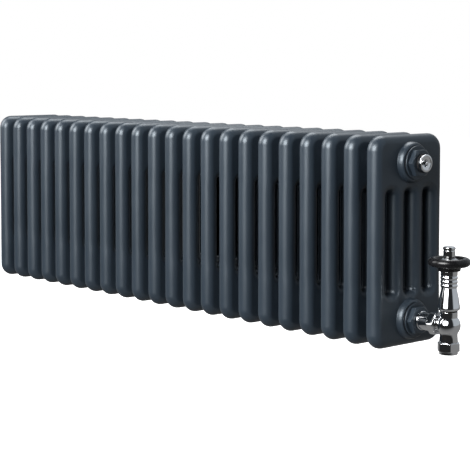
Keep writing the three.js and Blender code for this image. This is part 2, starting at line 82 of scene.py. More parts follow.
section_low, section_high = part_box("section_01")
DEPTH = (section_high.y - section_low.y) / MM
HEIGHT = (section_high.z - section_low.z) / MM
PITCH = (centre_of("section_02").x - centre_of("section_01").x) / MM
SECTION_NODES = sorted(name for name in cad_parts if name.startswith("section_"))

wheel_axis = centre_of("handwheel")
port_level = centre_of("union_tail").z
valve_place = Matrix.Translation((wheel_axis.x, wheel_axis.y, port_level))
along_x = Matrix.Rotation(math.radians(90), 4, "Y")
union_place = valve_place @ along_x  # heights are distances from the valve's axis, outwards


def port_place(side, level_node):
    """An end port: heights are distances from the hub's face, out of the radiator."""
    end = section_low if side < 0 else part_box(SECTION_NODES[-1])[1]
    level = centre_of(level_node)
    turn = Matrix.Rotation(math.radians(90 * side), 4, "Y")
    return Matrix.Translation((end.x, level.y, level.z)) @ turn


# ---- Mesh helpers ----


def add_mesh(name, points, faces):
    """A mesh in metres, from points in millimetres."""
    mesh = bpy.data.meshes.new(name)
    mesh.from_pydata([Vector(point) * MM for point in points], [], faces)
    return mesh


def add_object(name, mesh, place=Matrix()):
    obj = bpy.data.objects.new(name, mesh)
    bpy.context.collection.objects.link(obj)
    obj.matrix_world = place
    return obj


def smooth(obj):
    """Shades the faces smooth, keeps the sharp edges, and lets the large faces set the normals."""
    sharp_from = math.radians(35)
    obj.data.shade_smooth()
    obj.data.set_sharp_from_angle(angle=sharp_from)
    weighted = obj.modifiers.new("weighted_normals", "WEIGHTED_NORMAL")
    weighted.keep_sharp = True


def combine(obj, tool, operation):
    """Joins the object with another, or cuts it by another, and removes that one."""
    modifier = obj.modifiers.new("combine", "BOOLEAN")
    modifier.operation = operation
    modifier.solver = "EXACT"
    modifier.object = tool
    bpy.context.view_layer.update()
    evaluated = obj.evaluated_get(bpy.context.evaluated_depsgraph_get())
    made = bpy.data.meshes.new_from_object(evaluated)
    obj.modifiers.clear()
    obj.data = made
    bpy.data.objects.remove(tool)


def finish_piece(obj, look, body, node):
    """Gives a piece its look, and makes it stand for its CAD node."""
    obj.data.materials.clear()
    obj.data.materials.append(LOOKS[look])
    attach(obj, body)
    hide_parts(node)


def fillet(before, corner, after, radius, steps):
    """The arc that rounds one corner of a profile."""
    back = (before - corner).normalized()
    on = (after - corner).normalized()
    half_angle = back.angle(on) / 2
    share = 0.49  # of the shorter side, so that the fillets at its two ends don't meet
    longest = share * min((before - corner).length, (after - corner).length)
    reach = min(radius / math.tan(half_angle), longest)
    middle = (back + on).normalized()
    centre = corner + middle * reach / math.cos(half_angle)
    start = corner + back * reach - centre
    end = corner + on * reach - centre
    turn = start.angle_signed(end)
    return [centre + start @ Matrix.Rotation(turn * i / steps, 2) for i in range(steps + 1)]


def rounded(profile, steps=4):
    """A profile's points, with the corners that carry a third number rounded to that radius."""
    points = []
    for i, corner in enumerate(profile):
        if len(corner) == 2:
            points.append(Vector(corner))
            continue
        before = Vector(profile[i - 1][:2])
        after = Vector(profile[(i + 1) % len(profile)][:2])
        points += fillet(before, Vector(corner[:2]), after, corner[2], steps)
    return points


def turned_mesh(name, profile, sides=96):
    """A mesh turned about Z. It starts and ends on the axis, or closes on itself.

    The profile runs anticlockwise, radius to the right and height up, and may be a function of the
    angle."""
    angles = [FULL_TURN * i / sides for i in range(sides)]
    columns = [rounded(profile(angle) if callable(profile) else profile) for angle in angles]
    on_axis = columns[0][0].x == 0
    points = []
    rows = []
    for row in zip(*columns):
        if row[0].x == 0:
            rows.append([len(points)] * sides)
            points.append((0, 0, row[0].y))
            continue
        rows.append([len(points) + i for i in range(sides)])
        points += [(p.x * math.cos(a), p.x * math.sin(a), p.y) for p, a in zip(row, angles)]
    pairs = list(zip(rows, rows[1:]))
    if not on_axis:
        pairs.append((rows[-1], rows[0]))
    faces = []
    for low, high in pairs:
        for i in range(sides):
            j = (i + 1) % sides
            corners = [low[i], low[j], high[j], high[i]]
            faces.append(list(dict.fromkeys(corners)))
    return add_mesh(name, points, faces)


def turned(node, profile, look, body="root", place=valve_place, sides=96):
    """Adds a turned piece that stands for a CAD node."""
    obj = add_object(node + "_fine", turned_mesh(node + "_fine", profile, sides), place)
    smooth(obj)
    finish_piece(obj, look, body, node)


def repeated(shape, start, pitch, count):
    """A stretch of a profile, such as one turn of a thread, repeated along the axis."""
    return [(r, start + pitch * i + h, *edge) for i in range(count) for r, h, *edge in shape]


def ring(inner, outer, low, high, edge):
    """The profile of a ring with rounded edges."""
    return [(inner, low, edge), (outer, low, edge), (outer, high, edge), (inner, high, edge)]


def hex_radius(angle, across_flats, corner_r, turn=0.0):
    """From the axis to the side of a hexagon whose corners are rounded off, with a corner at turn."""
    sector = (angle - turn) % (math.pi / 3) - math.pi / 6
    return min(across_flats / 2 / math.cos(sector), corner_r)


def curve_through(points, steps):
    """A Catmull-Rom curve through points, each stretch cut into steps."""
    given = [Vector(p) for p in points]
    known = [2 * given[0] - given[1], *given, 2 * given[-1] - given[-2]]
    made = []
    for a, b, c, d in zip(known, known[1:], known[2:], known[3:]):
        for i in range(steps):
            t = i / steps
            made.append(
                b + (c - a) * t / 2 + (2 * a - 5 * b + 4 * c - d) * t**2 / 2
                + (3 * b - a - 3 * c + d) * t**3 / 2
            )
    return [tuple(p) for p in [*made, known[-2]]]


def arc(centre_r, centre_h, radius, start, end, steps):
    """Points of an arc in a profile, between two angles in degrees."""
    angles = [math.radians(start + (end - start) * i / steps) for i in range(steps + 1)]
    return [(centre_r + radius * math.cos(a), centre_h + radius * math.sin(a)) for a in angles]


# ---- Looks ----

NOISE_LOW, NOISE_HIGH = 0.3, 0.7  # nearly all of a noise texture's values lie between these
ROUGHNESS_PATCHES = 3.7  # how much finer the patches of roughness are than those of colour


def new_material(name):
    material = bpy.data.materials.new(name)
    material.use_nodes = True
    return material


def add_node(tree, kind, inputs, **settings):
    """A shader node with its inputs set, or linked where one is given a socket."""
    made = tree.nodes.new(kind)
    for name, value in settings.items():
        setattr(made, name, value)
    for name, value in inputs.items():
        if isinstance(value, bpy.types.NodeSocket):
            tree.links.new(value, made.inputs[name])
        else:
            made.inputs[name].default_value = value
    return made


def map_range(tree, value, start, end, low, high, kind="LINEAR"):
    """The value's stretch from start to end, mapped to the stretch from low to high."""
    inputs = {"Value": value, "From Min": start, "From Max": end, "To Min": low, "To Max": high}
    return add_node(tree, "ShaderNodeMapRange", inputs, interpolation_type=kind).outputs["Result"]


def end_with_mix(tree, share, first, second, output):
    """Ends a tree with the first shader where share is 0, and with the second where it is 1."""
    inputs = {0: share, 1: first.outputs[0], 2: second.outputs[0]}
    mix = add_node(tree, "ShaderNodeMixShader", inputs)
    tree.links.new(mix.outputs[0], tree.nodes[output].inputs["Surface"])


def noise(tree, vector, scale, detail=3.0):
    inputs = {"Vector": vector, "Scale": scale, "Detail": detail}
    return add_node(tree, "ShaderNodeTexNoise", inputs).outputs[0]


def piece_coordinates(tree):
    """The piece's own coordinates, in metres, moved by a different amount on each piece."""
    own = add_node(tree, "ShaderNodeTexCoord", {}).outputs["Object"]
    chance = add_node(tree, "ShaderNodeObjectInfo", {}).outputs["Random"]
    return add_node(tree, "ShaderNodeVectorMath", {0: own, 1: chance}, operation="ADD").outputs[0]


def surface(name, colours, patches, roughness, grain, grain_depth, turning=None, **shader):
    """A finish: two colours in soft patches, roughness that varies with them, and a fine grain.

    patches and grain are noise scales, turning is the wave scale of the lathe marks and their depth,
    and depths are in metres."""
    material = new_material(name)
    tree = material.node_tree
    principled = tree.nodes["Principled BSDF"]
    for socket, value in shader.items():
        principled.inputs[socket.replace("_", " ")].default_value = value
    vector = piece_coordinates(tree)
    patch = noise(tree, vector, patches)
    ramp = add_node(tree, "ShaderNodeValToRGB", {"Fac": patch})
    stops = ramp.color_ramp.elements
    for stop, position, colour in zip(stops, (NOISE_LOW, NOISE_HIGH), colours):
        stop.position = position
        stop.color = (*colour, 1)
    tree.links.new(ramp.outputs["Color"], principled.inputs["Base Color"])
    worn = noise(tree, vector, patches * ROUGHNESS_PATCHES)
    rough = map_range(tree, worn, NOISE_LOW, NOISE_HIGH, *roughness)
    tree.links.new(rough, principled.inputs["Roughness"])
    fine = noise(tree, vector, grain, detail=2.0)
    bump = add_node(tree, "ShaderNodeBump", {"Height": fine, "Distance": grain_depth})
    if turning:
        scale, depth = turning
        inputs = {"Vector": vector, "Scale": scale, "Distortion": 0.6, "Detail": 2.0}
        marks = add_node(tree, "ShaderNodeTexWave", inputs, bands_direction="Z")
        inputs = {"Height": marks.outputs["Fac"], "Distance": depth, "Normal": bump.outputs[0]}
        bump = add_node(tree, "ShaderNodeBump", inputs)
    tree.links.new(bump.outputs["Normal"], principled.inputs["Normal"])
    return material


LOOKS = {
    "paint": surface(
        "satin_anthracite_powder_coat",
        colours=((0.017, 0.025, 0.035), (0.022, 0.031, 0.042)),
        patches=9,
        roughness=(0.34, 0.39),
        grain=900,
        grain_depth=0.000012,
        Specular_IOR_Level=0.7,
        Specular_Tint=(0.84, 0.93, 1.0, 1),
    ),
    "chrome": surface(
        "polished_chrome",
        colours=((0.80, 0.81, 0.83), (0.88, 0.89, 0.90)),
        patches=45,
        roughness=(0.03, 0.08),
        grain=60,
        grain_depth=0.00001,
        Metallic=1.0,
    ),
    "brass": surface(
        "turned_brass",
        colours=((0.52, 0.34, 0.13), (0.66, 0.46, 0.20)),
        patches=150,
        roughness=(0.22, 0.38),
        grain=1500,
        grain_depth=0.00001,
        turning=(130, 0.00002),
        Metallic=1.0,
    ),
    "steel": surface(
        "stainless_steel",
        colours=((0.42, 0.42, 0.42), (0.56, 0.56, 0.57)),
        patches=120,
        roughness=(0.22, 0.36),
        grain=1400,
        grain_depth=0.000008,
        turning=(150, 0.00001),
        Metallic=1.0,
    ),
    "rubber": surface(
        "black_rubber",
        colours=((0.006, 0.006, 0.007), (0.014, 0.014, 0.015)),
        patches=200,
        roughness=(0.6, 0.8),
        grain=2600,
        grain_depth=0.00003,
        Specular_IOR_Level=0.2,
    ),
    "handwheel": surface(
        "glossy_black_moulding",
        colours=((0.004, 0.004, 0.0045), (0.009, 0.009, 0.010)),
        patches=70,
        roughness=(0.22, 0.30),
        grain=1100,
        grain_depth=0.00001,
        Specular_IOR_Level=0.4,
    ),
    "spindle_plastic": surface(
        "white_nylon",
        colours=((0.62, 0.62, 0.58), (0.72, 0.72, 0.68)),
        patches=90,
        roughness=(0.35, 0.5),
        grain=1200,
        grain_depth=0.00001,
        Subsurface_Weight=0.1,
    ),
}


# ---- Radiator sections ----

COLUMNS = 4
TUBE_R = 12.5
COLUMN_PITCH = (DEPTH - 2 * TUBE_R) / (COLUMNS - 1)
CORNER_R = 22
SLOT_FOOT = 77
SLOT_TOP = 220
SLOT_MIDDLES = [(gap * COLUMN_PITCH, (SLOT_FOOT + SLOT_TOP) / 2) for gap in (-1, 0, 1)]
SLOT_HALF_HEIGHT = (SLOT_TOP - SLOT_FOOT) / 2
SLOT_HALF_WIDTH = COLUMN_PITCH / 2 - TUBE_R
SLOT_CORNER_R = 5
HEADER_SWELL = 0.05  # how much thicker the headers are than the tubes, as a share
SWELL_LENGTH = 14  # the stretch over which a tube thickens to its header
SWELL_END = 4  # how far past the slots' ends that stretch reaches
HUB_LEVELS = [
    (centre_of(f"bush_valve_end_{end}").z - section_low.z) / MM for end in ("bottom", "top")
]
HUB_BORE_R = 18
HUB_FACE_R = 25
HUB_SHOULDER = 4.6  # how far the hub's round shoulder reaches beyond its face
WELD_BLEND = 2.5  # fillet between hub and header


def inset_in(y, z, half_y, half_z, radius):
    """How far a point lies inside a rounded rectangle round the origin. Outside it is negative."""
    over_y = abs(y) - half_y + radius
    over_z = abs(z) - half_z + radius
    return radius - math.hypot(max(over_y, 0), max(over_z, 0)) - min(max(over_y, over_z), 0)


def inset(y, z):
    """From a point of the section's middle plane to the nearest edge, its outline's or a slot's."""
    edges = [inset_in(y, z - HEIGHT / 2, DEPTH / 2, HEIGHT / 2, CORNER_R)]
    for slot_y, slot_z in SLOT_MIDDLES:
        in_slot = inset_in(
            y - slot_y, z - slot_z, SLOT_HALF_WIDTH, SLOT_HALF_HEIGHT, SLOT_CORNER_R
        )
        edges.append(-in_slot)
    return min(edges)


def hub_height(reach):
    """Half the hub's length at a distance from its axis."""
    share = max(reach - HUB_FACE_R, 0) / HUB_SHOULDER
    if share > 1:
        return 0
    foot = TUBE_R - WELD_BLEND
    return foot + (PITCH / 2 - foot) * math.sqrt(1 - share**2)


def skin_height(y, z):
    """Half the section's thickness at a point of its middle plane."""
    rolled = TUBE_R - min(max(inset(y, z), 0), TUBE_R)
    past_slots = max(SLOT_FOOT - z, z - SLOT_TOP) - SWELL_END
    header = min(max(past_slots / SWELL_LENGTH + 1, 0), 1)
    swell = 1 + HEADER_SWELL * header**2 * (3 - 2 * header)
    plate = math.sqrt(TUBE_R**2 - rolled**2) * swell
    hub = max(hub_height(math.hypot(y, z - level)) for level in HUB_LEVELS)
    # The higher of the two, with a fillet where they meet.
    shared = max(WELD_BLEND - abs(plate - hub), 0)
    return max(plate, hub) + shared**2 / (4 * WELD_BLEND)


def skin_normal(y, z):
    """The direction that the skin faces, from its slope over a short step."""
    step = 0.01
    if inset(y, z) < 2 * step:
        slope_y = inset(y + step, z) - inset(y - step, z)
        slope_z = inset(y, z + step) - inset(y, z - step)
        return Vector((0, -slope_y, -slope_z)).normalized()
    slope_y = (skin_height(y + step, z) - skin_height(y - step, z)) / (2 * step)
    slope_z = (skin_height(y, z + step) - skin_height(y, z - step)) / (2 * step)
    return Vector((1, -slope_y, -slope_z)).normalized()


def rounded_loop(centre, half_y, half_z, radius, outset):
    """Points round a rounded rectangle that is moved outwards."""
    arc_steps = 8
    spacing = 18  # along the straights
    corners = [(1, 1, 0), (-1, 1, 90), (-1, -1, 180), (1, -1, 270)]
    arcs = []
    for side_y, side_z, start in corners:
        hub = Vector((centre[0] + side_y * (half_y - radius), centre[1] + side_z * (half_z - radius)))
        angles = [math.radians(start + 90 * i / arc_steps) for i in range(arc_steps + 1)]
        arcs.append([hub + (radius + outset) * Vector((math.cos(a), math.sin(a))) for a in angles])
    loop = []
    for i, here in enumerate(arcs):
        ahead = arcs[(i + 1) % 4][0]
        # The straight is cut by the rectangle's own size, so that every outset has as many points.
        length = 2 * ((half_z if i % 2 else half_y) - radius)
        cuts = max(1, round(length / spacing))
        straight = [here[-1].lerp(ahead, k / cuts) for k in range(1, cuts)]
        loop += here + straight
    return loop


def section_outline_points():
    """Points and edges that the section's skin is stretched over, on its middle plane."""
    roll_steps, shoulder_steps, hub_sides = 8, 6, 56
    points = []
    edges = []

    def add_loop(loop):
        start = len(points)
        points.extend(loop)
        count = len(loop)
        edges.extend((start + i, start + (i + 1) % count) for i in range(count))

    for k in range(roll_steps + 1):
        depth = TUBE_R * (1 - math.cos(math.pi / 2 * k / roll_steps))
        middle = (0, HEIGHT / 2)
        add_loop(rounded_loop(middle, DEPTH / 2, HEIGHT / 2, CORNER_R, -depth))
        for slot in SLOT_MIDDLES:
            add_loop(rounded_loop(slot, SLOT_HALF_WIDTH, SLOT_HALF_HEIGHT, SLOT_CORNER_R, depth))
    rises = [math.sin(math.pi / 2 * k / shoulder_steps) for k in range(shoulder_steps + 1)]
    shoulder = [HUB_FACE_R + HUB_SHOULDER * rise for rise in rises]
    blend = [shoulder[-1] + extra for extra in (0.6, 1.6, 3.0)]
    angles = [FULL_TURN * i / hub_sides for i in range(hub_sides)]
    for level in HUB_LEVELS:
        for reach in [HUB_BORE_R, *shoulder, *blend]:
            add_loop([Vector((reach * math.cos(a), level + reach * math.sin(a))) for a in angles])
    return points, edges


def section_mesh():
    """A section's skin: a height on both sides of its middle plane, open through the hubs' bores."""
    merge_within = 0.01
    on_edge = 0.001
    in_bore, round_bore = HUB_BORE_R * 0.999, HUB_BORE_R * 1.01
    points, edges = section_outline_points()
    flat, _, triangles, *_ = delaunay_2d_cdt(points, edges, [], 0, merge_within)

    def hub_reach(y, z):
        return min(math.hypot(y, z - level) for level in HUB_LEVELS)

    kept = []
    for triangle in triangles:
        y, z = sum((flat[i] for i in triangle), Vector((0, 0))) / 3
        if inset(y, z) > 0 and hub_reach(y, z) > in_bore:
            kept.append(triangle)
    heights = [skin_height(*p) if inset(*p) > on_edge else 0 for p in flat]
    normals = [skin_normal(*p) for p in flat]
    used = sorted({i for triangle in kept for i in triangle})
    front = {}
    back = {}
    skin = []
    for i in used:
        y, z = flat[i]
        front[i] = back[i] = len(skin)
        skin.append((heights[i], y, z))
        if heights[i] > 0:
            back[i] = len(skin)
            skin.append((-heights[i], y, z))
    faces = [[front[i] for i in t] for t in kept]
    faces += [[back[i] for i in reversed(t)] for t in kept]
    corner_normals = [normals[i] for t in kept for i in t]
    corner_normals += [Vector((-1, 1, 1)) * normals[i] for t in kept for i in reversed(t)]
    sides = {(t[i], t[(i + 1) % 3]) for t in kept for i in range(3)}
    for a, b in sorted(sides):
        if (b, a) not in sides and hub_reach(*flat[a]) < round_bore:
            faces.append([front[b], front[a], back[a], back[b]])
            level = min(HUB_LEVELS, key=lambda z: abs(z - flat[a].y))
            at_a, at_b = (Vector((0, -flat[i].x, level - flat[i].y)).normalized() for i in (a, b))
            corner_normals += [at_b, at_a, at_a, at_b]
    mesh = add_mesh("section_skin", skin, faces)
    mesh.shade_smooth()
    mesh.normals_split_custom_set(corner_normals)
    return mesh


def make_sections():
    """One skin for all the sections, placed in each node's box."""
    skin = section_mesh()
    for node in SECTION_NODES:
        low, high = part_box(node)
        middle = ((low.x + high.x) / 2, (low.y + high.y) / 2, low.z)
        obj = add_object(node + "_fine", skin, Matrix.Translation(middle))
        finish_piece(obj, "paint", "root", node)


# ---- End fittings: a bush's heights are from the hub's face, and a plug's from the bush's face ----

FLANGE_START = 1.8
FLANGE_END = 3.7
BUSH_FACE = 11.7
BUSH_FLATS = 36.4
PORT_R = 10.3
RING_TOP = 3.4
PLUG_FACE = 7.8
THREAD_PITCH = 1.8
THREAD_TURN = [(9.95, 0.3), (9.3, 0.9), (9.3, 1.1), (9.95, 1.7)]  # one turn of a half-inch thread


def hex_end(angle, across_flats, face_r, low, high, turn=0.0, both=False):
    """A hexagon's outside from low to high, chamfered to face_r at the high end or at both."""
    edge, rounding, least_chamfer = 0.3, 0.25, 0.02
    corner_r = across_flats / 2 / math.cos(math.pi / 6) - rounding
    side = hex_radius(angle, across_flats, corner_r, turn)
    chamfer = max(side - face_r, least_chamfer) * math.tan(math.radians(30))
    top = [(side, high - chamfer, edge), (face_r, high, edge)]
    if both:
        return [(face_r, low, edge), (side, low + chamfer, edge), *top]
    return [(side, low), *top]


def bush_profile(threaded):
    """A tapped bush. Where its port is open, the thread shows."""
    bore = [(PORT_R + 0.8, BUSH_FACE, 0.2), (PORT_R, BUSH_FACE - 0.8)]
    if threaded:
        crest_r = PORT_R - 0.75
        thread_turn = [(PORT_R, 0), (crest_r, -0.7), (crest_r, -0.9)]
        bore += repeated(thread_turn, BUSH_FACE - 1.5, -THREAD_PITCH, 12)

    def profile(angle):
        return [
            (PORT_R, -12),
            (17.7, -12),
            (17.7, FLANGE_START),
            (24, FLANGE_START, 0.6),
            (24, FLANGE_END, 0.8),
            *hex_end(angle, BUSH_FLATS, 17.6, FLANGE_END, BUSH_FACE, turn=math.pi / 2),
            *bore,
        ]

    return profile


def plug_outside():
    """A half-inch plug from its threaded end to the rim of its face."""
    return [
        (0, -12),
        (9, -12),
        (9.9, -11.2),
        *repeated(THREAD_TURN, -11, THREAD_PITCH, 6),
        (9.9, RING_TOP + 0.3),
        (12.5, RING_TOP + 0.3, 0.5),
        (12.5, PLUG_FACE, 0.9),
    ]


def plug_ring():
    """The sealing ring under a plug's head."""
    return ring(PORT_R, 13.3, 0.3, RING_TOP, 1.0)


def make_bushes():
    """The four bushes and their gaskets. Returns the places of their ports."""
    ports = {}
    for place in ("valve_end_top", "valve_end_bottom", "far_end_top", "far_end_bottom"):
        side = -1 if place.startswith("far") else 1
        ports[place] = port_place(side, f"bush_{place}")
        profile = bush_profile(threaded=place == "far_end_bottom")
        turned(f"bush_{place}", profile, "paint", place=ports[place])
        gasket = ring(HUB_BORE_R, 23.5, 0.3, 1.5, 0.4)
        turned(f"bush_gasket_{place}", gasket, "rubber", place=ports[place])
    return ports


def make_vent(port):
    """The chrome air vent: a dished plug with an outlet hole, round its square-ended bleed screw."""
    outlet_r, outlet_from_axis, outlet_bed, outlet_length = 0.9, 7.4, 2.0, 9
    place = port @ Matrix.Translation((0, 0, BUSH_FACE * MM))
    turned("vent_plug_ring", plug_ring(), "rubber", place=place)
    dish = [(9.8, PLUG_FACE, 0.4), (9.3, 7.1, 0.4), (5.2, 5.9, 0.3), (5.0, 1.6), (3.9, 1.6, 0.2)]
    bore = [(3.9, -6.3), (1.2, -6.3), (1.2, -12)]
    profile = [*plug_outside()[1:], *dish, *bore]
    obj = add_object("vent_plug_fine", turned_mesh("vent_plug_fine", profile), place)
    drill = [(0, 0), (outlet_r, 0), (outlet_r, outlet_length), (0, outlet_length)]
    off_axis = Matrix.Translation(Vector((0, -outlet_from_axis, outlet_bed)) * MM)
    outlet = add_object("outlet", turned_mesh("outlet", drill, 24), place @ off_axis)
    combine(obj, outlet, "DIFFERENCE")
    smooth(obj)
    finish_piece(obj, "chrome", "root", "vent_plug")

    def spindle(angle):
        half_side, corner_r = 2.4, 3.1
        quarter = math.pi / 2
        sector = (angle + quarter / 2) % quarter - quarter / 2
        square = min(half_side / math.cos(sector), corner_r)
        return [
            (0, -6),
            (1.2, -6),
            (3.6, -3.2),
            (3.6, 2.8, 0.3),
            (square, 2.8),
            (square, 8.8, 0.35),
            (0, 8.8),
        ]

    turned("bleed_screw", spindle, "chrome", "bleed_screw", place)


def make_blanking_plug(port):
    """The chrome plug of the far end, with a hexagon socket."""
    place = port @ Matrix.Translation((0, 0, BUSH_FACE * MM))
    turned("blanking_plug_ring", plug_ring(), "rubber", place=place)

    def profile(angle):
        socket = hex_radius(angle, across_flats=7, corner_r=4)
        hole = [(socket + 0.3, PLUG_FACE, 0.2), (socket, 7.3), (socket, 3.8), (0, 3.0)]
        return [*plug_outside(), *hole]

    turned("blanking_plug", profile, "chrome", place=place)


# ---- Valve body and its pipe connections: heights are from the port's axis ----

BALL_R = 16.4
FACING_CORNER = math.radians(-41)  # a corner of the pipe nut points here, from +X to the room


def make_valve_body():
    """The angled body: a ball between two necks, with a spout towards the radiator."""
    ball_foot, ball_top = -10.4, 10.9
    ball_low = math.degrees(math.asin(ball_foot / BALL_R))
    ball_high = math.degrees(math.asin(ball_top / BALL_R))
    outside = [
        (7.8, -34, 0.3),
        (10.5, -34, 0.3),
        (10.5, -23),
        (13.0, -23, 0.3),
        (12.5, -17),
        (12.3, -12.5),
        *arc(0, 0, BALL_R, ball_low, ball_high, 24),
        (12.3, 12.2),
        (12.3, 19, 0.4),
    ]
    inside = [(10, 19, 0.3), (10, -3.4, 0.6), (7.6, -4, 0.3), (6, -4.0, 0.3), (6, -24), (7.8, -24)]
    mesh = turned_mesh("valve_body_fine", [*outside, *inside])
    obj = add_object("valve_body_fine", mesh, valve_place)
    spout = [(0, -19.5), (11.3, -19.5, 0.4), (11.3, -11), (0, -11)]
    bore = [(0, -21), (7, -21), (7, 0), (0, 0)]
    for profile, operation in ((spout, "UNION"), (bore, "DIFFERENCE")):
        combine(obj, add_object("tool", turned_mesh("tool", profile), union_place), operation)
    smooth(obj)
    finish_piece(obj, "chrome", "root", "valve_body")


def make_pipe_union():
    """The compression nut and the olive that hold the pipe."""

    def nut(angle):
        outside = hex_end(angle, 28.8, 13.9, -36.3, -23.5, turn=FACING_CORNER, both=True)
        return [
            (7.8, -40.2, 0.4),
            (13.0, -40.2, 0.6),
            (13.0, -36.3),
            *outside,
            (10.8, -23.5, 0.3),
            (10.8, -35.5),
            (7.8, -38.5),
        ]

    turned("pipe_nut", nut, "chrome")
    olive = [
        (7.8, -37.6),
        (8.3, -37.6, 0.2),
        (9.9, -36, 0.3),
        (9.9, -35.5, 0.3),
        (8.7, -34.3, 0.2),
        (7.8, -34.3),
    ]
    turned("pipe_olive", olive, "brass")


def make_radiator_union():
    """The tail that screws into the radiator, and the nut that holds it on the valve."""
    tail = [
        (7, -64, 0.3),
        (9.2, -64, 0.3),
        *repeated(THREAD_TURN, -63, THREAD_PITCH, 7),
        (9.9, -49.7),
        (13.5, -49.7, 1.0),
        (13.5, -46.8, 1.0),
        (12.7, -46.2, 0.4),
        (12.7, -31.0, 0.4),
        (13.5, -30.4, 0.8),
        (13.5, -28.3, 0.8),
        (9.5, -28.3),
        (9.5, -25.7),
        (11.3, -25.7, 0.3),
        (11.3, -21.3, 0.3),
        (7, -21.3, 0.3),
    ]
    turned("union_tail", tail, "chrome", place=union_place)
    turned("union_washer", ring(8, 10.8, -21, -19.8, 0.3), "rubber", place=union_place)

    def nut(angle):
        return [
            (9.8, -28),
            *hex_end(angle, 30, 14.4, -28, -16.4, turn=math.pi / 2, both=True),
            (11.6, -16.4, 0.3),
            (11.6, -26),
            (9.8, -26),
        ]

    turned("union_nut", nut, "chrome", place=union_place)


# ---- Valve insert ----


def make_insert():
    """The brass insert, its seals, and the pin that carries the valve's disc."""
    insert = [
        (1.8, 12, 0.2),
        (8.5, 12, 0.3),
        (8.5, 8, 0.2),
        (9.6, 8, 0.3),
        (9.6, 20.8),
        (12.2, 20.8, 0.3),
        (12.2, 23, 0.3),
        (11, 23),
        (11, 30, 0.5),
        (4.2, 30, 0.3),
        (4.2, 24),
        (1.8, 24),
    ]
    turned("valve_insert", insert, "brass")
    turned("insert_washer", ring(10.2, 12.1, 19.3, 20.5, 0.35), "rubber")
    turned("gland_ring", ring(1.8, 3.9, 24.3, 26, 0.8), "rubber")
    turned("gland_nut", ring(1.8, 3.9, 26.3, 31.5, 0.4), "brass")
    pin = [
        (0, -0.6),
        (1.5, -0.6, 0.2),
        (1.5, 40.5),
        (4, 40.5, 0.3),
        (4, 42.4),
        (3, 43, 0.3),
        (0, 43),
    ]
    turned("valve_pin", pin, "steel", "pin")
    turned("valve_disc", ring(1.8, 7.8, -1.2, 1.4, 0.5), "rubber", "pin")
    turned("disc_holder", ring(1.8, 6.8, 1.7, 3.2, 0.3), "brass", "pin")
    turned("coupling_nut", ring(11.3, 13.1, 23.8, 31, 0.4), "brass")


def make_return_spring():
    """A coil whose end turns lie flat, drawn at its rest length."""
    coil_r, wire_r, low, high, turns = 3.1, 0.45, 31.8, 40.2, 5
    steps, sides = 32 * turns, 10
    flat_turns = 0.75  # at each end
    flat_pitch = 1.5 * wire_r
    open_rise = high - low - 2 * wire_r - 2 * flat_turns * flat_pitch
    points = []
    for i in range(steps + 1):
        turn = turns * i / steps
        angle = FULL_TURN * turn
        open_share = min(max((turn - flat_turns) / (turns - 2 * flat_turns), 0), 1)
        in_flat = min(turn, flat_turns) + max(turn - turns + flat_turns, 0)
        level = low + wire_r + in_flat * flat_pitch + open_rise * open_share
        for k in range(sides):
            around = FULL_TURN * k / sides
            reach = coil_r + wire_r * math.cos(around)
            height = level + wire_r * math.sin(around)
            points.append((reach * math.cos(angle), reach * math.sin(angle), height))
    faces = []
    for i in range(steps):
        for k in range(sides):
            here, ahead, beside = i * sides, (i + 1) * sides, (k + 1) % sides
            faces.append([ahead + k, ahead + beside, here + beside, here + k])
    faces.append(list(range(sides)))
    faces.append([steps * sides + k for k in reversed(range(sides))])
    mesh = add_mesh("return_spring_fine", points, faces)
    obj = add_object("return_spring_fine", mesh, valve_place)
    obj.data.shade_smooth()
    finish_piece(obj, "steel", "root", "return_spring")
    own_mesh(obj)


# ---- Thermostatic head ----


def make_bell():
    """The tapered chrome housing, a thin shell."""
    wall, steps = 1.3, 6
    belly = [(14.9, 22.1), (15.6, 23.8), (15.35, 26.6), (14.3, 33)]
    taper = [(12.9, 41), (11.4, 48), (10.5, 52.2)]
    outside = curve_through([*belly, *taper], steps)
    inside = [(radius - wall, height) for radius, height in reversed(outside[steps:])]
    bell = [(12.8, 21.2, 0.3), (13.6, 21.2, 0.3), *outside, *inside, (12.8, 22.6)]
    turned("bell_housing", bell, "chrome")


def make_neck():
    """Three round beads under a plain collar."""
    foot, bead, valley_r, bead_r = 52.5, 5.5, 11.0, 12.1
    count, bead_steps = 3, 12
    fullness = 0.7  # the power of a sine that gives a bead's outline, lower for a fuller bead
    beads = []
    for i in range(count):
        for k in range(bead_steps):
            swell = math.sin(math.pi * k / bead_steps) ** fullness
            level = foot + bead * (i + k / bead_steps)
            beads.append((valley_r + (bead_r - valley_r) * swell, level))
    collar = foot + count * bead
    neck = [
        (9.2, foot),
        *beads,
        (valley_r, collar),
        (11.8, collar + 0.5, 0.3),
        (11.8, 75.5, 0.4),
        (10.2, 75.5, 0.3),
        (10.2, foot + 2),
        (9.2, foot + 2),
    ]
    turned("ribbed_neck", neck, "chrome")


